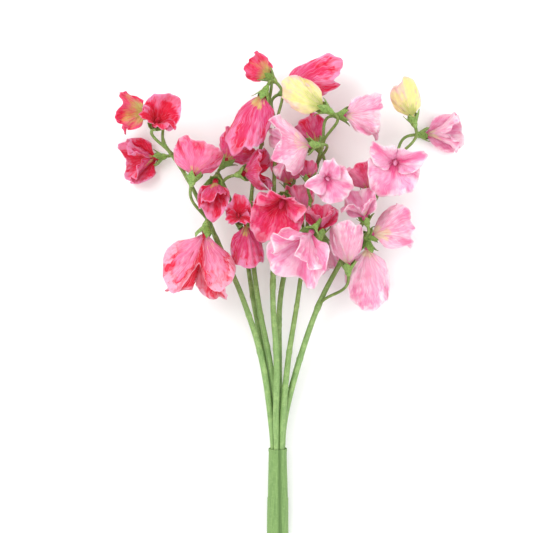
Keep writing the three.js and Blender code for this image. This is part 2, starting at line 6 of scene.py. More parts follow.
import bpy
import numpy as np
from bpy.props import FloatProperty, FloatVectorProperty, IntProperty, PointerProperty
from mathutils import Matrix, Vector


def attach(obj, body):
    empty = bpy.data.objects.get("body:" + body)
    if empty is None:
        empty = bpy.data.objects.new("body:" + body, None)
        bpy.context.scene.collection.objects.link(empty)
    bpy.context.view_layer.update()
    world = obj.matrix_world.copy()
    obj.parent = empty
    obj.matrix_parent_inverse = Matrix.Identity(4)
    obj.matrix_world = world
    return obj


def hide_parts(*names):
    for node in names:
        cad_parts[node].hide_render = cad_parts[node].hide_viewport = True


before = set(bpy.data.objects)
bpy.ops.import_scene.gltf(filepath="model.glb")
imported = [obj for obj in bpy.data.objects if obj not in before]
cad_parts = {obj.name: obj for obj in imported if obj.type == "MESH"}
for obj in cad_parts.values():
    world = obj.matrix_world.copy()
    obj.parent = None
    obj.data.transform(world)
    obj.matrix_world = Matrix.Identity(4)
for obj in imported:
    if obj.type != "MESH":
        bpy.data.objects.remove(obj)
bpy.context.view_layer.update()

bl_info = {
    "name": "Sweet pea bunch",
    "version": (1, 0, 0),
    "blender": (4, 5, 0),
    "location": "View3D > Sidebar > Sweet peas",
    "description": "Makes a cut bunch of sweet peas with ruffled petals and a wrapped binding",
    "category": "Add Mesh",
}

MM = 0.001

# The middle of the bunch in its own measures, which is the origin of the frame.
MIDDLE = np.array((9.1, 198.5, 0.0))

# The bundle: one stem in the middle and six round it, wrapped in tape.
BOUND_RADIUS = 2.0
STEM_PITCH = 4.35
BUNDLE_TURN = -14
BUNDLE_SPREAD = 1.28
BINDING_LENGTH = 75
LEAVES_BINDING = 1.02 * BINDING_LENGTH
FREE_FROM = 1.3 * BINDING_LENGTH
BUNDLE_RISE = 0.1
BUNDLE_END_HEIGHT = 7.6
BINDING_END_RADIUS = 8.8
BINDING_TOP_RADIUS = 7.25
BINDING_SEAM = 34
GROOVE_DEPTH = 1.6
GROOVE_WIDTH = 14
TAPE_WALL = 0.7
TAPE_SIDES = 96
LIP_HEIGHT = 0.35
LIP_PLACE = 1.2  # below the upper end of the tape
LIP_WIDTH = 1.4

# The neck of a bloom, and the shape of its petals.
NECK_LENGTH = 3
NECK_SIDES = 20
CLAW = 1.3
CLAW_SPREAD = 0.6
BANNER_STEP = 1.6
WING_STEP = 2.8
RIM_TURN = math.radians(84)
NOTCH_WIDTH = 0.16
CREASE_WIDTH = 0.25
RUFFLE_TURNS = 4.2
FUNNEL_DEPTH = 5
FUNNEL_RADIUS = 6
PLEATS = 9
PLEAT_DEPTH = 4
ROLLED_RIM = 3.4
CRUMPLE = 0.8
# The fold colours are painted light: a ridge turns towards the pale edge colour as painted highlight, a
# hollow towards the heart colour as painted shade.
FOLD_HEIGHT = 1.8  # at which a fold shows its full colour
RUFFLE_SHARE = 0.25  # of the large waves in that colour
ROLL_FROM = 0.72  # of a petal's length, from which its rim rolls back
ROLL_MEAN = 0.6
ROLL_RANGE = 0.5
ROLL_TURNS = 3.5
SIDE_FADING = 0.8  # how far folds fade towards a petal's sides
RIM_THINNING = 0.5
WING_DETAIL = 0.6  # of a banner's divisions
WING_COLUMNS = 1.6  # for each of its rows

# Pleats: how far from the middle they stand, how far they drift, and their least and added width.
PLEAT_SPREAD = 0.9
PLEAT_DRIFT = 0.3
PLEAT_WIDTH = 0.04
PLEAT_WIDER = 0.06

# Waves of a petal's outline: their share of its length, how many, and their shift by the phase.
OUTLINE_WAVES = ((0.02, 9, 7), (0.012, 19, 3))

# Frills: their share of the frill depth, how late they rise, how many, and their shift by the phase.
FRILLS = ((1.3, 3, 8, 3), (1, 5, 15, 5), (0.4, 7, 29, 9))

# Crumples: two crossing waves, in radians for each mm across and along, and their shift by the phase.
CRUMPLE_WAVES = ((0.75, 0.4, 1), (-0.6, 0.42, 2))

# The keel between the wings.
KEEL_WIDTH = 1.8
KEEL_HEIGHT = 2.4
KEEL_LENGTH = 13.6
KEEL_BACK = 2.5  # the part of its length behind the neck's end
KEEL_CURL = 1.6
KEEL_PINCH = 0.35  # how much narrower it is below
KEEL_POINT = 0.05
KEEL_BLUNTNESS = 0.6
KEEL_SIDES = 20
KEEL_RINGS = 16

# The knots on the upper half of a stem, in shares of its length and radius.
KNOTS = 5
KNOTS_FROM = 0.44
KNOTS_SPAN = 0.5
KNOT_SWELL = 0.14
KNOT_LENGTH = 0.005

# Ribs along a stem: their depth, how many go round it, and how far they wind.
STEM_RIBS = ((0.025, 5, 0), (0.012, 9, 60))

# Stems and side stalks.
PATH_STEPS = 40  # between two given points of a stem's way
RIBBED_FROM = 0.3  # of its length
THINS_AT = 0.4
TIP_THINNING = 0.5
JOINT_SWELL = 0.2  # of its radius, where a stalk leaves it
JOINT_LENGTH = 0.011  # of its length
STEM_STEPS = 260
STEM_SIDES = 20
STALK_STEPS = 34
STALK_SIDES = 14
STALK_TONE = 0.9
STALK_FOOT_SWELL = 0.25  # of its radius
STALK_END_SWELL = 0.12
STALK_BEND = 0.4
STEM_PULL = 0.5  # how much a stalk follows its stem where it leaves it
BRACT_TONE = 0.8
BRACT_ROWS = 10
BRACT_COLUMNS = 7
BRACT_THICKNESS = 0.36
BRACT_LENGTH = 6.5
BRACT_WIDTH = 1.7  # from its middle to its edge

# The green cup behind a bloom.
CUP_DEPTH = 7
CUP_GROWTH = 0.3  # how much of a bloom's size shows in its cup
CUP_FOOT = 1.25  # its radius where the stalk runs into it
CUP_SIDES = 40
CUP_TONE = 1
CUP_RIB_DEPTH = 0.04  # of its radius
SEPALS = 5
SEPAL_ROWS = 18
SEPAL_COLUMNS = 11
SEPAL_THICKNESS = 0.44
SEPAL_ROOT = 2.2  # how far below the cup's mouth a sepal starts
SEPAL_ROOT_RADIUS = 2.85
SEPAL_WIDTH = 2.4  # from its middle to its edge

# Petals and sepals below this height come down to the table in a soft bend.
SOFT_HEIGHT = 4
SOFTNESS = 0.6


class Petal(NamedTuple):
    """A fan round its claw, bent across, along and at its rim. Lengths in mm, angles in degrees."""

    length: float
    half_angle: float
    round: float
    notch: float
    lean: float
    cup: float
    roll: float
    ruffle: float
    crease: float


class Form(NamedTuple):
    """A banner and the wings, which stand at their turns round the neck, and how far the sepals reach."""

    banner: Petal
    wing: Petal
    wing_turns: tuple
    sepal_height: float
    sepal_radius: float


FORMS = {
    "open": Form(
        Petal(31, 108, 0.4, 0.1, 62, 0.026, 0.005, 5, 2.6),
        Petal(27, 54, 0.45, 0.08, 42, 0.04, 0.006, 3.8, 2.6),
        (120, -120), 2.5, 7.5,
    ),
    "hanging": Form(
        Petal(38, 84, 0.42, 0.22, 30, 0.034, 0.002, 4.4, 6),
        Petal(32, 40, 0.45, 0.1, 28, 0.036, 0.002, 2.8, 2),
        (122, -122), 4, 7,
    ),
    "cupped": Form(
        Petal(31, 84, 0.42, 0.1, 34, 0.05, 0.003, 3.6, 2.4),
        Petal(26, 44, 0.48, 0.08, 32, 0.05, 0.003, 2.2, 1.6),
        (122, -122), 4.5, 6.5,
    ),
    "shell": Form(
        Petal(35, 66, 0.42, 0.08, 22, 0.054, 0, 3, 2),
        Petal(30, 36, 0.48, 0.08, 26, 0.05, 0, 2, 1.4),
        (124, -124), 5.5, 6,
    ),
    "drooping": Form(
        Petal(45, 64, 0.42, 0.5, 26, 0.03, 0.001, 5, 6),
        Petal(43, 36, 0.45, 0.06, 20, 0.03, 0.001, 3.4, 2),
        (128, -128), 4.5, 7,
    ),
    "folded": Form(
        Petal(33, 58, 0.42, -0.12, 16, 0.08, 0, 3.4, 2.4),
        Petal(31, 42, 0.48, 0.08, 13, 0.086, 0, 2, 1.2),
        (180,), 5.5, 6,
    ),
    "balloon": Form(
        Petal(37, 80, 0.44, -0.04, 42, 0.062, -0.021, 2, 1.4),
        Petal(29, 50, 0.5, 0.06, 22, 0.05, -0.006, 1.4, 1.2),
        (180,), 5.5, 6,
    ),
    "bud": Form(
        Petal(27.2, 80, 0.45, 0.05, 20, 0.068, -0.004, 1.8, 1.2),
        Petal(23.12, 50, 0.5, 0.06, 17, 0.066, -0.004, 0.8, 1.2),
        (180,), 5.6, 6.3,
    ),
}

# The blooms whose petals hide the keel.
CLOSED_FORMS = ("shell", "folded", "balloon", "bud")


class Bloom(NamedTuple):
    """Where a stalk leaves its stem, and the place, way and banner side of the bloom that it carries."""

    leaves: float
    base: tuple
    faces: tuple
    top: tuple
    size: float
    form: str
    look: str


class Spray(NamedTuple):
    """A stem's angle in the bundle, none for the middle one, its way beyond the binding, and its blooms."""

    name: str
    place: float
    route: tuple
    blooms: tuple

    @property
    def place_seed(self):
        return ord(self.name)


SPRAYS = (
    Spray("a", 180, ((-13, 148, 26), (-28, 196, 31), (-49, 244, 36), (-73, 294, 38), (-92, 322, 36)), (
        Bloom(1, (-104, 347, 32), (-0.95, 0.04, -0.05), (-0.1, 0.25, 0.97), 0.92, "cupped", "tipped"),
        Bloom(0.97, (-99, 335, 46), (0.3, 0.45, 0.8), (0.4, 0.7, -0.6), 0.9, "cupped", "crimson"),
        Bloom(0.9, (-97, 312, 10), (-0.95, -0.15, 0.2), (-0.2, 0, -1), 1.1, "cupped", "crimson"),
        Bloom(0.78, (-68, 293, 48), (0.2, 0.9, -0.1), (0, 0.1, 1), 1.15, "cupped", "rose"),
        Bloom(0.74, (-58, 252, 50), (-0.12, -0.95, 0.02), (-0.05, 0.1, 1), 1.33, "drooping", "carmine"),
    )),
    Spray("b", 240, ((-11, 148, 17), (-20, 196, 19), (-30, 256, 24), (-39, 278, 27), (-47, 294, 27)), (
        Bloom(0.9, (-50, 292, 42), (-0.05, -0.6, 0.75), (0, -0.75, -0.6), 1.05, "folded", "crimson"),
        Bloom(1, (-43, 307, 21), (0.48, 0.6, 0), (-0.3, 0.2, 0.9), 0.97, "cupped", "crimson"),
        Bloom(0.9, (-31.5, 261, 46), (0.02, 0.3, 0.9), (0, 0.9, -0.4), 0.62, "cupped", "crimson"),
    )),
    Spray("c", None, ((-7, 148, 23), (-16, 196, 27), (-22, 252, 28), (-20, 292, 28), (-13, 322, 34)), (
        Bloom(1, (-11, 361, 50), (-0.42, -0.92, 0.08), (-0.4, 0.3, 0.9), 1.05, "balloon", "crimson"),
        Bloom(0.7, (-29, 297, 42), (0.85, 0.15, 0.3), (-0.3, 0.2, 1), 0.95, "cupped", "crimson"),
        Bloom(0.82, (-25.5, 259, 42), (0.05, -1, 0), (0.1, 0, 1), 1.1, "folded", "crimson"),
    )),
    Spray("d", 120, ((-1, 148, 29), (-4, 196, 34), (-3, 244, 38), (-3, 292, 40), (-1, 336, 43)), (
        Bloom(1, (-6, 374, 44), (-0.75, 0.65, 0.1), (0.1, 0.3, 1), 0.85, "bud", "tipped"),
        Bloom(0.99, (6, 364, 34), (0.85, 0.4, 0.1), (-0.2, 0.3, 0.9), 1, "balloon", "crimson"),
        Bloom(0.7, (5, 278, 47), (-0.2, -0.5, 0.8), (-0.3, -1, -0.3), 1.25, "cupped", "rose"),
        Bloom(0.62, (9, 287, 24), (-0.12, 0.95, 0.08), (0, -0.1, 1), 0.82, "shell", "rose"),
    )),
    Spray("e", 300, ((1, 148, 20), (2, 196, 20), (10, 236, 20), (26, 284, 26), (36, 322, 38)), (
        Bloom(1, (38, 348, 54), (-0.87, 0.48, 0.12), (0.1, 0.2, 1), 1.12, "folded", "cream"),
        Bloom(0.99, (51, 344, 40), (0.95, 0.05, 0.1), (0, 0.3, 1), 1.05, "shell", "blush"),
        Bloom(0.94, (27, 319, 58), (-0.95, -0.08, 0.12), (0, 0.35, 1), 1.1, "hanging", "blush"),
        Bloom(0.86, (32, 320, 24), (-0.5, 0.8, -0.1), (0, 0.3, 1), 0.9, "cupped", "crimson"),
        Bloom(0.88, (38, 294, 64), (0.1, -0.3, 0.9), (0.7, -0.6, 0.1), 0.72, "open", "blush"),
    )),
    Spray("f", 60, ((8.5, 148, 28), (16, 196, 31), (23, 250, 36), (26, 276, 40)), (
        Bloom(1, (24, 292, 46), (0, 1, 0.1), (0, -0.1, 1), 0.55, "bud", "rose"),
        Bloom(0.86, (19, 266, 33), (-0.1, 0.9, 0.05), (0, -0.2, 0.9), 0.9, "bud", "rose"),
        Bloom(0.86, (34, 250, 48), (0.05, 0.9, 0.15), (0.1, 0.4, -0.8), 0.8, "cupped", "rose"),
        Bloom(0.82, (27, 251, 71), (-0.5, -0.75, 0.48), (0.2, -0.3, -0.9), 1.2, "hanging", "blush"),
        Bloom(0.84, (36, 246, 18), (0.1, -0.95, 0), (0, 0.1, 1), 1.05, "bud", "blush"),
    )),
    Spray("g", 0, ((18, 148, 21), (35, 196, 27), (55, 234, 31), (77, 274, 30), (94, 308, 26)), (
        Bloom(1, (109, 341, 32), (-0.3, 0.9, 0.1), (0, 0, 1), 0.98, "folded", "cream"),
        Bloom(0.99, (119, 331, 6), (0.95, 0.05, 0.05), (0.1, 0, -1), 1, "shell", "blush"),
        Bloom(0.96, (94, 307, 46), (-0.1, -0.2, 1), (-0.2, -1, 0), 0.95, "open", "blush"),
        Bloom(0.86, (73, 283, 33), (-0.25, 0.95, 0.05), (0, 0, 1), 0.95, "cupped", "rose"),
        Bloom(0.72, (74, 248, 34), (0.9, 0.25, 0.1), (-0.1, 0.2, 1), 1.1, "shell", "blush"),
        Bloom(0.8, (72, 240, 30), (0, -0.95, 0.05), (0.1, 0, 1), 1.5, "folded", "blush"),
        Bloom(0.6, (56, 222, 46), (-0.05, 0.95, 0.1), (0, 0, 1), 1.12, "folded", "blush"),
        Bloom(0.76, (70, 260, 48), (-0.3, 0.8, 0.4), (0, 0.6, -0.7), 0.8, "cupped", "blush"),
    )),
)

# How far the colour of the claw runs up the outer side of a petal.
CLAW_REACH = {"crimson": 0.22, "carmine": 0.2, "tipped": 0.8, "rose": 0.2, "blush": 0.24, "cream": 0.4}

# How far the colour of the heart runs up the inner side of a petal.
HEART_REACH = {"crimson": 0.3, "carmine": 0.3, "tipped": 0.3, "rose": 0.3, "blush": 0.12, "cream": 0.2}

# How much of the heart's colour shows along the middle of a petal.
MIDDLE_DEPTH = {"crimson": 0.3, "carmine": 0.95, "tipped": 0, "rose": 0.2, "blush": 0.25, "cream": 0}

# The record's material slot for each look of a bloom.
LOOK_SLOTS = {
    "crimson": "petal_red",
    "carmine": "petal_red",
    "tipped": "petal_red",
    "rose": "petal_pink",
    "blush": "petal_pale",
    "cream": "petal_yellow",
}


def from_hex(code):
    """A colour as the shader wants it, from its usual six digits."""
    channels = [int(code[i:i + 2], 16) / 255 for i in (0, 2, 4)]
    return tuple(c / 12.92 if c <= 0.04045 else ((c + 0.055) / 1.055) ** 2.4 for c in channels)


def colour_property(name, description, code):
    return FloatVectorProperty(
        name=name, description=description, default=from_hex(code), subtype="COLOR", size=3, min=0, max=1
    )


# The parts of a petal with a colour of their own, and those colours in each look.
PETAL_PARTS = {
    "base": "Claw of a {} petal, seen from outside",
    "heart": "Inner part of a {} petal",
    "blade": "Blade of a {} petal",
    "edge": "Rim and pale folds of a {} petal",
    "outer": "Outer side of a {} petal",
}
# The edge colour also serves as the painted highlight on folds and fine wrinkles, and the heart colour as
# their painted shade.
PETAL_COLOURS = {
    "crimson": {"base": "e8dc78", "heart": "dc0a2e", "blade": "eb2151", "edge": "f2a6d0", "outer": "eb4989"},
    "carmine": {"base": "f6d59a", "heart": "dc0a2e", "blade": "f0244a", "edge": "fcc4dc", "outer": "f68dbb"},
    "tipped": {"base": "d9de72", "heart": "dc0a2e", "blade": "f02c58", "edge": "f6709f", "outer": "ef3f76"},
    "rose": {"base": "f0cf7a", "heart": "e61547", "blade": "f4508c", "edge": "fcb9d6", "outer": "f888ba"},
    "blush": {"base": "f8ecc0", "heart": "ee5f9e", "blade": "f8b9da", "edge": "fff4f9", "outer": "fdc9e0"},
    "cream": {"base": "d3dc7e", "heart": "f3ee9a", "blade": "f9f5c4", "edge": "fbd5dc", "outer": "faf5ae"},
}


def length_property(name, description, metres):
    return FloatProperty(name=name, description=description, default=metres, unit="LENGTH")


class SweetPeaSizes(bpy.types.PropertyGroup):
    """Sizes that a maker may change."""

    petal_thickness: length_property("Petal thickness", "Thickness of a petal at its middle", 0.0004)
    frill_depth: length_property("Frill depth", "Depth of the small waves at a petal's rim", 0.0016)
    stem_radius: length_property("Stem radius", "Radius of a stem above the binding", 0.0026)
    stalk_radius: length_property("Stalk radius", "Radius of the side stalks", 0.0012)
    petal_detail: IntProperty(
        name="Petal detail", description="Divisions of a banner from claw to rim", default=30, min=8
    )


class SweetPeaColours(bpy.types.PropertyGroup):
    """Colours of the petals, the green parts and the tape."""

    stem_light: colour_property("Stem light", "Lower part of the stems", "83a562")
    # The darker upper part is partly painted shade among the blooms.
    stem_dark: colour_property("Stem dark", "Upper part of the stems", "73893f")
    cup_green: colour_property("Cup green", "Green cups and sepals", "82a54d")
    tape_green: colour_property("Tape green", "Tape round the bundle", "7a9c58")


for look, codes in PETAL_COLOURS.items():
    for part, code in codes.items():
        title = f"{look} {part}".capitalize()
        text = PETAL_PARTS[part].format(look)
        SweetPeaColours.__annotations__[f"{look}_{part}"] = colour_property(title, text, code)


# Numbers and vectors.

def chance(seed):
    """A number from 0 to 1 that is always the same for the same seed."""
    value = math.sin(seed * 12.9898) * 43758.5453
    return value - math.floor(value)


def unit(vector):
    vector = np.asarray(vector, float)
    return vector / np.linalg.norm(vector, axis=-1, keepdims=True)


def whole_turn(sides):
    """The angles of even sides round an axis."""
    return 2 * math.pi * np.arange(sides) / sides


def bell(distance, width):
    return np.exp(-((distance / width) ** 2))


class Turned(NamedTuple):
    """A place and three directions: right, up and forward."""

    base: np.ndarray
    right: np.ndarray
    up: np.ndarray
    forward: np.ndarray

    def place(self, points):
        across = points[..., :1] * self.right
        return self.base + across + points[..., 1:2] * self.up + points[..., 2:] * self.forward

    def along(self, distance):
        return self.base + distance * self.forward


def bloom_frame(bloom):
    forward = unit(bloom.faces)
    right = unit(np.cross(bloom.top, forward))
    return Turned(np.array(bloom.base, float), right, np.cross(forward, right), forward)


# Meshes are gathered as points and faces, with a place in the grain and three measures for each point.

class Shape:
    def __init__(self):
        self.points = []
        self.grain = []
        self.measures = {"tone": [], "outside": [], "fold": []}
        self.faces = []
        self.count = 0

    def add(self, points, faces, grain, tone, outside=0, fold=0):
        points = np.asarray(points, float).reshape(-1, 3)
        self.points.append(points)
        self.grain.append(np.asarray(grain, float).reshape(-1, 2))
        for kind, values in (("tone", tone), ("outside", outside), ("fold", fold)):
            self.measures[kind].append(np.broadcast_to(np.asarray(values, float), len(points)))
        self.faces.extend(tuple(int(i) + self.count for i in face) for face in faces)
        self.count += len(points)

    def make(self, name, material):
        mesh = bpy.data.meshes.new(name)
        points = (np.concatenate(self.points) - MIDDLE) * MM
        mesh.from_pydata(points.tolist(), [], self.faces)
        corners = np.empty(len(mesh.loops), int)
        mesh.loops.foreach_get("vertex_index", corners)
        layer = mesh.uv_layers.new(name="grain")
        layer.uv.foreach_set("vector", np.concatenate(self.grain)[corners].ravel())
        for kind, values in self.measures.items():
            attribute = mesh.attributes.new(kind, "FLOAT", "POINT")
            attribute.data.foreach_set("value", np.concatenate(values))
        mesh.polygons.foreach_set("use_smooth", [True] * len(mesh.polygons))
        mesh.materials.append(material)
        piece = bpy.data.objects.new(name, mesh)
        bpy.context.collection.objects.link(piece)
        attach(piece, "root")
        return piece


def grid_faces(rows, columns, start=0, flip=False):
    """Quads between neighbouring points of a grid."""
    first = start + np.arange(rows - 1)[:, None] * columns + np.arange(columns - 1)[None, :]
    corners = [first, first + 1, first + columns + 1, first + columns]
    if flip:
        corners.reverse()
    return np.stack(corners, -1).reshape(-1, 4)


def grid_normals(points):
    across = np.gradient(points, axis=1)
    along = np.gradient(points, axis=0)
    return unit(np.cross(across, along) + 1e-12)


def add_sheet(shape, middle, half, grain, tone, fold=0):
    """A closed thin sheet round a grid of middle points, each with its height on a fold, which the material
    paints as highlight on ridges and shade in hollows.
    """
    rows, columns = middle.shape[:2]
    count = rows * columns
    offset = grid_normals(middle) * np.broadcast_to(half, (rows, columns))[..., None]
    faces = [grid_faces(rows, columns), grid_faces(rows, columns, count, flip=True)]
    index = np.arange(count).reshape(rows, columns)
    rim = np.concatenate([index[0, :-1], index[:-1, -1], index[-1, :0:-1], index[:0:-1, 0]])
    after = np.roll(rim, -1)
    faces.append(np.stack([after, rim, rim + count, after + count], -1))
    points = np.concatenate([(middle + offset).reshape(-1, 3), (middle - offset).reshape(-1, 3)])
    outside = np.repeat((0, 1), count)
    fold = np.broadcast_to(fold, (rows, columns)).ravel()
    # The back side gets the opposite height, so its painted highlight and shade fall the other way round.
    both = np.concatenate([fold, -fold])
    shape.add(points, np.concatenate(faces), np.tile(grain.reshape(-1, 2), (2, 1)), tone, outside, both)


def add_rod(shape, centres, radii, sides, tone):
    """A closed rod along centre points. radii holds one radius for each centre, or one for each side too."""
    centres = np.asarray(centres, float)
    way = unit(np.gradient(centres, axis=0))
    aside = [unit(np.cross(way[0], (0.31, 0.17, 0.94)))]
    for direction in way[1:]:
        aside.append(unit(aside[-1] - np.dot(aside[-1], direction) * direction))
    aside = np.array(aside)
    over = np.cross(way, aside)
    turn = whole_turn(sides)
    radii = np.broadcast_to(np.asarray(radii, float).reshape(len(centres), -1), (len(centres), sides))
    spread = np.cos(turn)[None, :, None] * aside[:, None] + np.sin(turn)[None, :, None] * over[:, None]
    points = centres[:, None] + radii[..., None] * spread
    add_rings(shape, points, tone)


def add_rings(shape, points, tone):
    """A closed body through rings of points, with its two ends filled."""
    rings, sides = points.shape[:2]
    middle = points.mean(axis=1)
    lengths = np.concatenate([[0], np.cumsum(np.linalg.norm(np.diff(middle, axis=0), axis=-1))])
    around = np.arange(sides) / sides
    grain = np.stack(np.broadcast_arrays(around[None, :], lengths[:, None]), -1)
    index = np.arange(rings * sides).reshape(rings, sides)
    after = np.roll(index, -1, axis=1)
    walls = np.stack([index[:-1], after[:-1], after[1:], index[1:]], -1).reshape(-1, 4)
    ends = [tuple(index[0, ::-1]), tuple(index[-1])]
    tone = np.broadcast_to(np.asarray(tone, float).reshape(-1, 1), (rings, sides)).ravel()
    shape.add(points.reshape(-1, 3), [*map(tuple, walls), *ends], grain, tone)


# Petals.

def petal_grid(petal, size, phase, step, seed, frill, rows, columns):
    """The middle surface of a petal in its bloom's frame, and how high each point lies on a fold, for the
    painted highlight and shade.
    """
    u = np.linspace(-1, 1, columns)[None, :]
    v = np.linspace(0, 1, rows)[:, None]
    lean = math.radians(petal.lean)
    angle = u * math.radians(petal.half_angle) * (CLAW_SPREAD + (1 - CLAW_SPREAD) * np.sqrt(v))
    rim = petal.length * size * np.cos(u * RIM_TURN) ** petal.round
    rim = rim * (1 - petal.notch * bell(u, NOTCH_WIDTH))
    wavy = 1
    for share, waves, shift in OUTLINE_WAVES:
        wavy = wavy + share * np.sin(waves * angle + shift * phase)
    rim = rim * wavy
    reach = CLAW + (rim - CLAW) * v
    aside = reach * np.sin(angle)
    out = reach * np.cos(angle)
    cup = petal.cup / size
    funnel = FUNNEL_DEPTH * size * math.sin(lean) ** 2 * (1 - bell(reach, FUNNEL_RADIUS * size))
    lift = (1 - np.cos(cup * aside)) / cup - petal.roll / size * out * np.abs(out)
    lift = lift - petal.crease * size * v * bell(u, CREASE_WIDTH)
    ruffle = petal.ruffle * size * v ** 1.5 * np.sin(RUFFLE_TURNS * angle + phase)
    fading = size * (1 - SIDE_FADING * u ** 4)
    folds = 0
    for share, rise, waves, shift in FRILLS:
        folds = folds + share * frill * fading * v ** rise * np.sin(waves * angle + shift * phase)
    crumple = 1
    for across, along, shift in CRUMPLE_WAVES:
        crumple = crumple * np.sin(across * aside + along * out + shift * phase)
    folds = folds + CRUMPLE * fading * v * crumple
    late = np.clip((v - ROLL_FROM) / (1 - ROLL_FROM), 0, 1)
    rolled = late ** 2 * (ROLL_MEAN + ROLL_RANGE * np.sin(ROLL_TURNS * angle + 2 * phase))
    lift = lift - ROLLED_RIM * fading * rolled
    for pleat in range(PLEATS):
        middle = 2 * PLEAT_SPREAD * chance(seed + 0.37 * pleat) - PLEAT_SPREAD
        depth = PLEAT_DEPTH * (chance(seed + 0.61 * pleat + 5) - 0.5)
        drift = PLEAT_DRIFT * (chance(seed + 1.3 * pleat) - 0.5) * v
        width = PLEAT_WIDTH + PLEAT_WIDER * chance(seed + pleat + 9)
        folds = folds + depth * fading * v * bell(u - middle - drift, width)
    lift = lift + ruffle + folds
    x = np.sin(cup * aside) / cup
    y = out * math.sin(lean) - lift * math.cos(lean)
    z = step + funnel + out * math.cos(lean) + lift * math.sin(lean)
    return np.stack([x, y, z], -1), (RUFFLE_SHARE * ruffle + folds) / (FOLD_HEIGHT * size)


def turned_about_axis(points, degrees):
    turn = math.radians(degrees)
    x = points[..., 0] * math.cos(turn) - points[..., 1] * math.sin(turn)
    y = points[..., 0] * math.sin(turn) + points[..., 1] * math.cos(turn)
    return np.stack([x, y, points[..., 2]], -1)


def rest_on_table(points, half):
    """What would sink into the table lies flat on it, with a soft bend where it comes down."""
    depth = points[..., 2] - half
    raised = half + 0.5 * (depth + np.sqrt(depth ** 2 + SOFTNESS ** 2))
    points[..., 2] = np.where(points[..., 2] < SOFT_HEIGHT, raised, points[..., 2])
    return points


def add_petal(shape, placing, petal, size, step, degrees, seed, sizes, wide):
    rows = sizes.petal_detail if wide else round(sizes.petal_detail * WING_DETAIL)
    columns = 2 * rows + 1 if wide else round(WING_COLUMNS * rows) + 1
    half = sizes.petal_thickness / MM / 2
    phase = 2 * math.pi * chance(seed)
    points, fold = petal_grid(petal, size, phase, step, seed, sizes.frill_depth / MM, rows, columns)
    points = placing.place(turned_about_axis(points, degrees))
    points = rest_on_table(points, half)
    u = np.linspace(0, 1, columns)[None, :]
    v = np.linspace(0, 1, rows)[:, None]
    grain = np.stack(np.broadcast_arrays(u, v), -1)
    thin = half * (1 - RIM_THINNING * v ** 6) * np.ones_like(u)
    add_sheet(shape, points, thin, grain, chance(seed + 0.77), fold)


def add_keel(shape, placing, size):
    """A small boat between the wings, with its point turned up."""
    share = np.linspace(0, 1, KEEL_RINGS)
    swelling = np.sin(math.pi * share) ** KEEL_BLUNTNESS
    width = KEEL_WIDTH * size * swelling + KEEL_POINT
    height = KEEL_HEIGHT * size * swelling + KEEL_POINT
    along = NECK_LENGTH - KEEL_BACK * size + KEEL_LENGTH * size * share
    lifted = KEEL_CURL * size * (share - 0.4) ** 2
    turn = whole_turn(KEEL_SIDES)
    pinch = 1 - KEEL_PINCH * np.clip(-np.sin(turn), 0, 1) ** 2
    x = width[:, None] * (np.cos(turn) * pinch)[None, :]
    y = height[:, None] * np.sin(turn)[None, :] + lifted[:, None]
    z = np.broadcast_to(along[:, None], x.shape)
    add_rings(shape, placing.place(np.stack([x, y, z], -1)), 0.5)
    grain = shape.grain[-1]
    grain[:, 1] = 0.25 + 0.4 * np.repeat(share, KEEL_SIDES)


def add_neck(shape, placing):
    radii = (1.9, 2.3, 2.4, 2.2, 1.7, 0.9)
    heights = (0, 0.5, 1.6, 2.8, 3.7, 4.3)
    add_rod(shape, [placing.along(height) for height in heights], radii, NECK_SIDES, 0.5)
    shape.grain[-1][:, 1] = 0.02


def make_bloom(name, bloom, order, sizes, material):
    shape = Shape()
    placing = bloom_frame(bloom)
    form = FORMS[bloom.form]
    add_petal(shape, placing, form.banner, bloom.size, BANNER_STEP, 0, order + 0.1, sizes, True)
    for i, degrees in enumerate(form.wing_turns):
        add_petal(shape, placing, form.wing, bloom.size, WING_STEP, degrees, order + 0.3 + i, sizes, False)
    if bloom.form not in CLOSED_FORMS:
        add_keel(shape, placing, bloom.size)
    add_neck(shape, placing)
    return shape.make(name, material)


# Stems, stalks and green cups.

def in_bundle(along, place=None, spread=1):
    """The middle of a stem while it runs in the bundle, or of the bundle itself."""
    way = unit((0, 1, BUNDLE_RISE))
    right = np.array((1.0, 0, 0))
    middle = np.array((0, 0, BUNDLE_END_HEIGHT)) + along * way
    if place is None:
        return middle
    angle = math.radians(place + BUNDLE_TURN)
    return middle + spread * STEM_PITCH * (math.cos(angle) * right + math.sin(angle) * np.cross(right, way))


def stem_path(spray):
    """Points close together along a stem's smooth curve."""
    parallel = ((0, 1), (BINDING_LENGTH / 2, 1), (LEAVES_BINDING, 1), (FREE_FROM, BUNDLE_SPREAD))
    knots = [in_bundle(along, spray.place, spread) for along, spread in parallel]
    knots += [np.array(point, float) for point in spray.route]
    knots = [2 * knots[0] - knots[1], *knots, 2 * knots[-1] - knots[-2]]
    path = []
    for p0, p1, p2, p3 in zip(knots, knots[1:], knots[2:], knots[3:]):
        d0, d1, d2 = (math.sqrt(np.linalg.norm(b - a)) for a, b in ((p0, p1), (p1, p2), (p2, p3)))
        leaving = ((p1 - p0) / d0 - (p2 - p0) / (d0 + d1) + (p2 - p1) / d1) * d1
        arriving = ((p2 - p1) / d1 - (p3 - p1) / (d1 + d2) + (p3 - p2) / d2) * d1
        for t in np.arange(PATH_STEPS) / PATH_STEPS:
            path.append(
                p1 + leaving * t + (3 * (p2 - p1) - 2 * leaving - arriving) * t ** 2
                + (2 * (p1 - p2) + leaving + arriving) * t ** 3
            )
    path.append(knots[-2])
    return np.array(path)


def spaced(path, shares):
    """The points at shares of a path's length."""
    lengths = np.concatenate([[0], np.cumsum(np.linalg.norm(np.diff(path, axis=0), axis=1))])
    at = np.asarray(shares) * lengths[-1]
    return np.stack([np.interp(at, lengths, path[:, i]) for i in range(3)], -1)


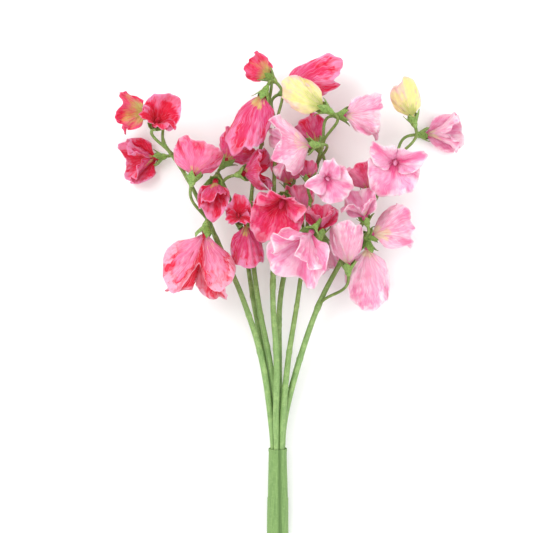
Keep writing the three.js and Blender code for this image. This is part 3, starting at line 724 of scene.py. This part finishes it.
def bezier(points, shares):
    a, b, c, d = (np.asarray(point) for point in points)
    t = np.asarray(shares)[:, None]
    return a * (1 - t) ** 3 + 3 * b * t * (1 - t) ** 2 + 3 * c * t ** 2 * (1 - t) + d * t ** 3


def add_stem(shape, spray, path, sizes):
    share = np.linspace(0, 1, STEM_STEPS)
    length = np.linalg.norm(np.diff(path, axis=0), axis=1).sum()
    free = sizes.stem_radius / MM
    opening = np.clip((share * length - LEAVES_BINDING) / (FREE_FROM - LEAVES_BINDING), 0, 1)
    radius = BOUND_RADIUS + (free - BOUND_RADIUS) * opening ** 2 * (3 - 2 * opening)
    radius = radius * (1 - TIP_THINNING * np.clip((share - THINS_AT) / (1 - THINS_AT), 0, None))
    for bloom in spray.blooms:
        radius = radius * (1 + JOINT_SWELL * bell(share - bloom.leaves, JOINT_LENGTH))
    for knot in range(KNOTS):
        middle = KNOTS_FROM + KNOTS_SPAN * (knot + chance(spray.place_seed + knot)) / KNOTS
        radius = radius * (1 + KNOT_SWELL * bell(share - middle, KNOT_LENGTH))
    turn = whole_turn(STEM_SIDES)
    ribs = 1
    for depth, count, winding in STEM_RIBS:
        ribs = ribs + depth * np.sin(count * turn[None, :] + winding * share[:, None])
    ribbed = np.clip((share - RIBBED_FROM) / 0.1, 0, 1)[:, None]
    add_rod(shape, spaced(path, share), radius[:, None] * (1 + (ribs - 1) * ribbed), STEM_SIDES, share)


def add_stalk(shape, bloom, placing, path, sizes):
    """A side stalk that swells into the cup's foot, with a small bract where it leaves the stem."""
    scale = cup_scale(bloom)
    start = spaced(path, [bloom.leaves])[0]
    ends = spaced(path, [max(0, bloom.leaves - 0.002), min(1, bloom.leaves + 0.002)])
    end = placing.along(-CUP_DEPTH * scale)
    reach = STALK_BEND * np.linalg.norm(end - start)
    leaving = unit(unit(end - start) + STEM_PULL * unit(ends[1] - ends[0]))
    handles = (start, start + reach * leaving, end - reach * placing.forward, end)
    share = np.linspace(0, 1, STALK_STEPS)
    centres = bezier(handles, share)
    swelling = 1 + STALK_FOOT_SWELL * bell(share, 0.08) + STALK_END_SWELL * bell(share - 1, 0.1)
    radius = sizes.stalk_radius / MM * swelling
    add_rod(shape, centres, radius, STALK_SIDES, STALK_TONE)
    add_bract(shape, centres, radius[4], start, bloom.leaves)


def add_bract(shape, centres, radius, start, seed):
    """A narrow pointed scale that hugs the foot of a stalk."""
    way = unit(centres[6] - centres[0])
    side = unit(np.cross(way, (0.2, 0.1, 1)))
    over = np.cross(side, way)
    t = np.linspace(0, 1, BRACT_ROWS)[:, None]
    s = np.linspace(-1, 1, BRACT_COLUMNS)[None, :]
    length = BRACT_LENGTH + 2 * chance(seed + 3)
    width = BRACT_WIDTH * (1 - t ** 1.6) + 0.05
    lift = radius + 0.35 + 1.3 * t ** 2
    x = s * width
    y = lift - 0.5 * s ** 2 * width
    z = -1.5 + length * t * np.ones_like(s)
    points = start + x[..., None] * side + y[..., None] * over + z[..., None] * way
    grain = np.stack(np.broadcast_arrays((s + 1) / 2, t * length), -1)
    add_sheet(shape, points, BRACT_THICKNESS / 2, grain, BRACT_TONE)


def cup_scale(bloom):
    return 1 - CUP_GROWTH + CUP_GROWTH * bloom.size


def add_cup(shape, bloom, placing, seed):
    """The green cup: a ribbed bell with five pointed sepals round the bloom's neck."""
    scale = cup_scale(bloom)
    heights = np.array((-7, -6.3, -5.4, -4.4, -3.4, -2.4, -1.6, -1.0, -0.6, -0.5)) * scale
    radii = np.array((1.2, 1.5, 2.0, 2.5, 2.75, 2.85, 2.95, 3.0, 2.6, 1.5)) * scale
    radii[0] = CUP_FOOT
    turn = whole_turn(CUP_SIDES)
    ribbed = radii[:, None] * (1 + CUP_RIB_DEPTH * np.cos(SEPALS * turn))[None, :]
    x = ribbed * np.cos(turn)[None, :]
    y = ribbed * np.sin(turn)[None, :]
    z = np.broadcast_to(heights[:, None], x.shape)
    add_rings(shape, placing.place(np.stack([x, y, z], -1)), CUP_TONE)
    form = FORMS[bloom.form]
    for sepal in range(SEPALS):
        add_sepal(shape, placing, 2 * math.pi * sepal / SEPALS, scale, form, seed + sepal)


def add_sepal(shape, placing, turn, scale, form, seed):
    """A pointed leaf that rises from the bell's rim and follows the bloom's neck."""
    t = np.linspace(0, 1, SEPAL_ROWS)[:, None]
    s = np.linspace(-1, 1, SEPAL_COLUMNS)[None, :]
    long = 0.95 + 0.45 * chance(seed)
    curl = 3.2 * (chance(seed + 0.5) - 0.2)
    root = SEPAL_ROOT_RADIUS
    radius = root + (form.sepal_radius - root) * long * np.sin(t * math.pi / 2) ** 1.2 + curl * t ** 4
    height = -SEPAL_ROOT + (form.sepal_height + SEPAL_ROOT) * long * t ** 1.1 - 0.8 * curl * t ** 5
    width = SEPAL_WIDTH * (1 - t ** 2.2) * (1 + 0.55 * np.sin(math.pi * t)) + 0.04
    around = turn + s * width / radius + 0.12 * math.sin(seed * 5) * t
    radius = (radius - 0.3 * (1 - np.abs(s)) * t ** 0.5) * scale
    x = radius * np.cos(around)
    y = radius * np.sin(around)
    z = height * scale + 0.25 * scale * np.abs(s) * t
    grain = np.stack(np.broadcast_arrays((s + 1) / 2, 8 * t), -1)
    half = SEPAL_THICKNESS / 2
    points = rest_on_table(placing.place(np.stack([x, y, z], -1)), half)
    add_sheet(shape, points, half, grain, CUP_TONE)


def make_spray(spray, order, sizes, material):
    shape = Shape()
    path = stem_path(spray)
    add_stem(shape, spray, path, sizes)
    for i, bloom in enumerate(spray.blooms):
        placing = bloom_frame(bloom)
        add_stalk(shape, bloom, placing, path, sizes)
        add_cup(shape, bloom, placing, order * 10 + i)
    return shape.make(f"stalks_{spray.name}", material)


# The tape round the lower end.

def make_binding(material):
    """Tape in two turns, open at both ends, with a lip at the top and a groove along its upper side."""
    along = np.concatenate([
        np.linspace(0, BINDING_SEAM, 24),
        BINDING_SEAM + np.array((0.15, 0.4, 0.8, 1.2)),
        np.linspace(BINDING_SEAM + 3, BINDING_LENGTH, 30),
    ])
    knots = (0, 6, BINDING_SEAM, BINDING_SEAM + 0.8, BINDING_LENGTH)
    at_knots = (BINDING_END_RADIUS, BINDING_END_RADIUS, BINDING_END_RADIUS - 0.2, BINDING_END_RADIUS - 0.6)
    radius = np.interp(along, knots, (*at_knots, BINDING_TOP_RADIUS))
    radius = radius + LIP_HEIGHT * bell(along - BINDING_LENGTH + LIP_PLACE, LIP_WIDTH)
    turn = whole_turn(TAPE_SIDES)
    from_top = np.degrees(np.minimum(turn, 2 * math.pi - turn))
    groove = GROOVE_DEPTH * bell(from_top, GROOVE_WIDTH)
    uneven = 0.05 * np.sin(3 * turn[None, :] + 0.11 * along[:, None])
    outer = radius[:, None] - groove[None, :] + uneven
    inner = np.maximum(outer - TAPE_WALL, 1)
    way = unit((0, 1, BUNDLE_RISE))
    level = np.array((1.0, 0, 0))
    tilt = math.radians(BUNDLE_TURN)
    over = math.cos(tilt) * np.cross(level, way) - math.sin(tilt) * level
    right = np.cross(way, over)
    spread = np.cos(turn)[:, None] * over + np.sin(turn)[:, None] * right
    rows = [in_bundle(a)[None] + r[:, None] * spread for a, r in zip(along, outer)]
    rows += [in_bundle(a)[None] + r[:, None] * spread for a, r in zip(along[::-1], inner[::-1])]
    points = np.array(rows)
    points[..., 2] = np.maximum(points[..., 2], 0)
    shape = Shape()
    # The groove's depth goes in as the fold measure, which the tape's material paints as shade.
    add_loop(shape, points, np.concatenate([along, along[::-1]]), -groove / GROOVE_DEPTH)
    return shape.make("tape_wrap", material)


def add_loop(shape, points, along, fold):
    """A closed skin whose last ring meets its first, with the same folds in every ring."""
    rings, sides = points.shape[:2]
    index = np.arange(rings * sides).reshape(rings, sides)
    after = np.roll(index, -1, axis=1)
    below = np.roll(index, -1, axis=0)
    below_after = np.roll(after, -1, axis=0)
    faces = np.stack([index, below, below_after, after], -1).reshape(-1, 4)
    around = np.arange(sides) / sides
    grain = np.stack(np.broadcast_arrays(around[None, :], along[:, None]), -1)
    shape.add(points.reshape(-1, 3), faces, grain, 0.5, fold=np.tile(fold, rings))


# Materials.

# The sockets of a mix node that carry colours.
FIRST_COLOUR = 6
SECOND_COLOUR = 7
MIXED_COLOUR = 2

VEINS_ACROSS = 30.0
FINE_LINES_ACROSS = 90.0
STEM_LINES_AROUND = 26.0
TAPE_LINES_AROUND = 90.0
GLOW = 0.36  # the share of light that shines through a petal


def add_node(tree, kind, inputs=None, **settings):
    """A node with its settings, and its inputs linked or set."""
    made = tree.nodes.new(f"ShaderNode{kind}")
    for name, value in settings.items():
        setattr(made, name, value)
    for name, value in (inputs or {}).items():
        if isinstance(value, bpy.types.NodeSocket):
            tree.links.new(value, made.inputs[name])
        else:
            made.inputs[name].default_value = value
    return made


def blended(tree, factor, first, second):
    """The first colour where the factor is 0, and the second where it is 1."""
    made = add_node(tree, "Mix", {"Factor": factor}, data_type="RGBA")
    for index, value in ((FIRST_COLOUR, first), (SECOND_COLOUR, second)):
        if isinstance(value, bpy.types.NodeSocket):
            tree.links.new(value, made.inputs[index])
        else:
            made.inputs[index].default_value = (*value[:3], 1)
    return made.outputs[MIXED_COLOUR]


def sum_of(tree, first, second, operation="ADD"):
    return add_node(tree, "Math", {0: first, 1: second}, operation=operation).outputs[0]


def ramp(tree, factor, stops):
    """Colours at places from 0 to 1."""
    made = add_node(tree, "ValToRGB", {"Fac": factor})
    elements = made.color_ramp.elements
    while len(elements) < len(stops):
        elements.new(0.5)
    for element, (place, colour) in zip(elements, stops):
        element.position = place
        element.color = (*colour[:3], 1)
    return made.outputs["Color"]


def spread_over(tree, value, low, high, to_low=0.0, to_high=1.0):
    inputs = {"Value": value, "From Min": low, "From Max": high, "To Min": to_low, "To Max": to_high}
    return add_node(tree, "MapRange", inputs).outputs["Result"]


def measure(tree, name):
    """A number that each point carries."""
    return add_node(tree, "Attribute", attribute_name=name).outputs["Fac"]


def grain_parts(tree):
    """The two measures of the grain, and the tone."""
    grain = add_node(tree, "UVMap", uv_map="grain").outputs["UV"]
    parts = add_node(tree, "SeparateXYZ", {"Vector": grain}).outputs
    return parts["X"], parts["Y"], measure(tree, "tone")


def streaks(tree, across, along, shift, width, length):
    """Noise drawn out along the grain."""
    inputs = {
        "X": sum_of(tree, across, width, "MULTIPLY"),
        "Y": sum_of(tree, along, length, "MULTIPLY"),
        "Z": sum_of(tree, shift, 17.0, "MULTIPLY"),
    }
    place = add_node(tree, "CombineXYZ", inputs).outputs[0]
    noise = {"Vector": place, "Scale": 1.0, "Detail": 3.0}
    return add_node(tree, "TexNoise", noise).outputs["Fac"]


def cloud(tree, scale, detail=2.0):
    place = add_node(tree, "TexCoord").outputs["Object"]
    inputs = {"Vector": place, "Scale": scale, "Detail": detail}
    return add_node(tree, "TexNoise", inputs).outputs["Fac"]


def add_bump(tree, surface, height, strength, distance):
    """Small unevenness of a surface, with its depth in metres."""
    inputs = {"Height": height, "Strength": strength, "Distance": distance}
    bump = add_node(tree, "Bump", inputs).outputs[0]
    tree.links.new(bump, surface.inputs["Normal"])
    return bump


def paint(tree, surface, colour, grain, smooth, rough):
    """A surface's colour, and its roughness that follows a grain."""
    tree.links.new(colour, surface.inputs["Base Color"])
    tree.links.new(spread_over(tree, grain, 0.3, 0.7, smooth, rough), surface.inputs["Roughness"])


def tinted(tree, colour, value, low, high, most, tint):
    """A colour that takes on more of a tint as a value goes from low to high."""
    return blended(tree, spread_over(tree, value, low, high, 0, most), colour, tint)


def new_material(name):
    material = bpy.data.materials.new(name)
    material.use_nodes = True
    tree = material.node_tree
    return material, tree, tree.nodes["Principled BSDF"], tree.nodes["Material Output"]


def petal_material(look, colours):
    """A petal from claw to rim, deep inside and paler outside, with branching veins, pale painted highlights
    on its folds and painted shade in their hollows.
    """
    material, tree, surface, output = new_material(f"{look} petal")
    base, heart, blade, edge, outer = (getattr(colours, f"{look}_{part}") for part in PETAL_PARTS)
    across, along, tone = grain_parts(tree)
    outside = measure(tree, "outside")
    drift = spread_over(tree, cloud(tree, 90.0), 0.3, 0.7, -0.2, 0.2)
    across = sum_of(tree, across, spread_over(tree, cloud(tree, 130.0), 0.2, 0.8, -0.03, 0.03))
    veins = streaks(tree, across, along, tone, VEINS_ACROSS, 2.2)
    fine = streaks(tree, across, along, tone, FINE_LINES_ACROSS, 4.0)
    uneven = spread_over(tree, veins, 0.35, 0.65, -0.1, 0.1)
    place = sum_of(tree, sum_of(tree, along, drift), uneven)
    place = sum_of(tree, place, spread_over(tree, tone, 0, 1, -0.1, 0.1))
    depth = HEART_REACH[look]
    inner_stops = ((0.0, heart), (depth, heart), (depth + 0.3, blade), (0.85, blade), (1.0, edge))
    inner_colour = ramp(tree, place, inner_stops)
    reach = CLAW_REACH[look]
    outer_stops = ((0.0, base), (0.4 * reach, base), (reach, outer), (0.72, outer), (0.9, blade), (1.0, edge))
    outer_colour = ramp(tree, place, outer_stops)
    colour = blended(tree, outside, inner_colour, outer_colour)
    colour = tinted(tree, colour, veins, 0.5, 0.7, 0.4, heart)
    from_middle = sum_of(tree, sum_of(tree, across, 0.5, "SUBTRACT"), 0, "ABSOLUTE")
    colour = blended(tree, spread_over(tree, from_middle, 0.02, 0.13, MIDDLE_DEPTH[look], 0), colour, heart)
    # Painted light on the fine wrinkles: pale lines on the crests of the fine bump are painted highlights,
    # stronger on the outer side, and the heart colour in its troughs is painted shade.
    highlight_strength = spread_over(tree, outside, 0, 1, 0.3, 0.65)
    painted_highlight_lines = sum_of(tree, spread_over(tree, fine, 0.52, 0.66), highlight_strength, "MULTIPLY")
    colour = blended(tree, painted_highlight_lines, colour, edge)
    colour = tinted(tree, colour, fine, 0.46, 0.34, 0.35, heart)
    # Painted light from the folds: ridges turn towards the pale edge colour as painted highlight, hollows
    # towards the heart colour as painted shade.
    fold = measure(tree, "fold")
    colour = tinted(tree, colour, fold, 0.1, 0.8, 0.55, edge)
    colour = tinted(tree, colour, fold, -0.1, -0.8, 0.5, heart)
    patchy = spread_over(tree, streaks(tree, across, along, tone, 9.0, 1.0), 0.4, 0.62, 0.1, 0.8)
    rim_line = sum_of(tree, spread_over(tree, along, 0.94, 0.985), patchy, "MULTIPLY")
    colour = blended(tree, rim_line, colour, edge)
    paint(tree, surface, colour, fine, 0.5, 0.68)
    surface.inputs["Sheen Weight"].default_value = 0.12
    surface.inputs["Sheen Roughness"].default_value = 0.5
    surface.inputs["Specular IOR Level"].default_value = 0.3
    height = sum_of(tree, veins, sum_of(tree, fine, 0.5, "MULTIPLY"))
    crumple = sum_of(tree, cloud(tree, 420.0, 4.0), 0.9, "MULTIPLY")
    height = sum_of(tree, height, crumple)
    bump = add_bump(tree, surface, height, 0.55, 0.0013)
    glow = add_node(tree, "BsdfTranslucent", {"Color": colour, "Normal": bump}).outputs[0]
    both = add_node(tree, "MixShader", {0: GLOW, 1: surface.outputs[0], 2: glow}).outputs[0]
    tree.links.new(both, output.inputs["Surface"])
    return material


def stalk_material(colours):
    """Stems light below and darker olive above, partly their own tint and partly painted shade among the
    blooms, with streaks along them, and the cups a fresher green.
    """
    material, tree, surface, _ = new_material("green stalk")
    across, along, tone = grain_parts(tree)
    # The darker olive of the upper stems, stalks and bracts is partly their own tint and partly painted shade
    # among the blooms.
    stops = (
        (0.0, colours.stem_light), (0.45, colours.stem_light), (0.75, colours.stem_dark),
        (0.93, colours.stem_dark), (1.0, colours.cup_green),
    )
    colour = ramp(tree, tone, stops)
    lines = streaks(tree, across, along, tone, STEM_LINES_AROUND, 0.12)
    patches = cloud(tree, 160.0, 3.0)
    colour = tinted(tree, colour, lines, 0.45, 0.7, 0.5, from_hex("4c7330"))
    colour = tinted(tree, colour, patches, 0.5, 0.72, 0.35, from_hex("b5cf86"))
    speckle = sum_of(tree, spread_over(tree, cloud(tree, 900.0, 3.0), 0.48, 0.66, 0, 0.75), tone, "MULTIPLY")
    colour = blended(tree, speckle, colour, from_hex("4f6426"))
    paint(tree, surface, colour, lines, 0.48, 0.66)
    height = sum_of(tree, lines, sum_of(tree, cloud(tree, 1800.0), 0.5, "MULTIPLY"))
    add_bump(tree, surface, height, 0.4, 0.0005)
    return material


def tape_material(colours):
    """Crinkled paper tape with fine lines along it, and painted shade in the groove along its upper side."""
    material, tree, surface, _ = new_material("binding tape")
    across, along, tone = grain_parts(tree)
    lines = streaks(tree, across, along, tone, TAPE_LINES_AROUND, 0.1)
    crinkle = cloud(tree, 500.0, 4.0)
    colour = tinted(tree, colours.tape_green, lines, 0.35, 0.7, 1, from_hex("5f8244"))
    colour = tinted(tree, colour, crinkle, 0.5, 0.75, 0.3, from_hex("9dbb7c"))
    # Darker green in the groove: painted shade.
    colour = tinted(tree, colour, measure(tree, "fold"), -0.25, -0.9, 0.75, from_hex("48682f"))
    paint(tree, surface, colour, crinkle, 0.55, 0.75)
    add_bump(tree, surface, sum_of(tree, lines, crinkle), 0.4, 0.0005)
    return material


def plain_material(name, colour, roughness):
    material, _, surface, _ = new_material(name)
    surface.inputs["Base Color"].default_value = (*colour, 1)
    surface.inputs["Roughness"].default_value = roughness
    return material


# Operators.

class SWEETPEA_OT_petals(bpy.types.Operator):
    """Make the petals of every bloom"""

    bl_idname = "sweetpea.petals"
    bl_label = "Petals"

    def execute(self, context):
        sizes = context.scene.sweet_pea_sizes
        materials = {look: petal_material(look, context.scene.sweet_pea_colours) for look in LOOK_SLOTS}
        for order, spray in enumerate(SPRAYS):
            for i, bloom in enumerate(spray.blooms):
                name = f"{spray.name}{i + 1}"
                piece = make_bloom(f"petals_{name}", bloom, order * 10 + i, sizes, materials[bloom.look])
                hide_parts(f"bloom_{name}")
        return {"FINISHED"}


class SWEETPEA_OT_stalks(bpy.types.Operator):
    """Make the stems with their side stalks and green cups"""

    bl_idname = "sweetpea.stalks"
    bl_label = "Stems and cups"

    def execute(self, context):
        material = stalk_material(context.scene.sweet_pea_colours)
        for order, spray in enumerate(SPRAYS):
            piece = make_spray(spray, order, context.scene.sweet_pea_sizes, material)
            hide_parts(f"stem_{spray.name}")
        return {"FINISHED"}


class SWEETPEA_OT_binding(bpy.types.Operator):
    """Make the tape round the lower end of the stems"""

    bl_idname = "sweetpea.binding"
    bl_label = "Binding"

    def execute(self, context):
        piece = make_binding(tape_material(context.scene.sweet_pea_colours))
        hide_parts("binding_wrap")
        return {"FINISHED"}


# The table, the light and the camera.

VIEW_MIDDLE = Vector((-0.0183, 0.0243, 0.045))
VIEW_WIDTH = 0.4264
SENSOR = 36
LENS = 135
TABLE_EDGE = 3.0  # from its middle to its edge, in metres
ROOM_LIGHT = 1.23


def add_light(name, place, size, power, aim):
    data = bpy.data.lights.new(name, "AREA")
    data.size = size
    data.energy = power
    lamp = bpy.data.objects.new(name, data)
    lamp.location = place
    lamp.rotation_euler = (aim - Vector(place)).to_track_quat("-Z", "Y").to_euler()
    bpy.context.collection.objects.link(lamp)


class SWEETPEA_OT_stage(bpy.types.Operator):
    """Set the pale table, the soft light and the camera above it"""

    bl_idname = "sweetpea.stage"
    bl_label = "Stage"

    def execute(self, context):
        mesh = bpy.data.meshes.new("table")
        edge = TABLE_EDGE
        corners = [(-edge, -edge, 0), (edge, -edge, 0), (edge, edge, 0), (-edge, edge, 0)]
        mesh.from_pydata(corners, [], [(0, 1, 2, 3)])
        mesh.materials.append(plain_material("pale table", (0.93, 0.93, 0.93), 0.9))
        table = bpy.data.objects.new("table", mesh)
        context.collection.objects.link(table)
        scene = context.scene
        scene.world = scene.world or bpy.data.worlds.new("room light")
        scene.world.use_nodes = True
        background = scene.world.node_tree.nodes["Background"]
        background.inputs["Color"].default_value = (1, 1, 1, 1)
        background.inputs["Strength"].default_value = ROOM_LIGHT
        add_light("window light", (-0.9, 0.8, 1.8), 1.0, 17, VIEW_MIDDLE)
        add_light("fill light", (1.1, -0.5, 1.6), 1.4, 6, VIEW_MIDDLE)
        data = bpy.data.cameras.new("camera")
        data.sensor_width = SENSOR
        data.lens = LENS
        camera = bpy.data.objects.new("camera", data)
        camera.location = VIEW_MIDDLE + Vector((0, 0, VIEW_WIDTH * LENS / SENSOR))
        context.collection.objects.link(camera)
        scene.camera = camera
        scene.view_settings.view_transform = "Standard"
        return {"FINISHED"}


class SWEETPEA_PT_panel(bpy.types.Panel):
    """The steps that make the bunch"""

    bl_idname = "SWEETPEA_PT_panel"
    bl_label = "Sweet peas"
    bl_space_type = "VIEW_3D"
    bl_region_type = "UI"
    bl_category = "Sweet peas"

    def draw(self, context):
        for group in (context.scene.sweet_pea_sizes, context.scene.sweet_pea_colours):
            for name in group.__annotations__:
                self.layout.prop(group, name)
        for step in STEPS:
            self.layout.operator(step.bl_idname)


STEPS = (SWEETPEA_OT_petals, SWEETPEA_OT_stalks, SWEETPEA_OT_binding, SWEETPEA_OT_stage)
CLASSES = (SweetPeaSizes, SweetPeaColours, *STEPS, SWEETPEA_PT_panel)


def register():
    for part in CLASSES:
        bpy.utils.register_class(part)
    bpy.types.Scene.sweet_pea_sizes = PointerProperty(type=SweetPeaSizes)
    bpy.types.Scene.sweet_pea_colours = PointerProperty(type=SweetPeaColours)


def unregister():
    del bpy.types.Scene.sweet_pea_colours
    del bpy.types.Scene.sweet_pea_sizes
    for part in reversed(CLASSES):
        bpy.utils.unregister_class(part)


def main():
    register()
    bpy.ops.sweetpea.stage()
    bpy.ops.sweetpea.petals()
    bpy.ops.sweetpea.stalks()
    bpy.ops.sweetpea.binding()


if __name__ == "__main__":
    main()
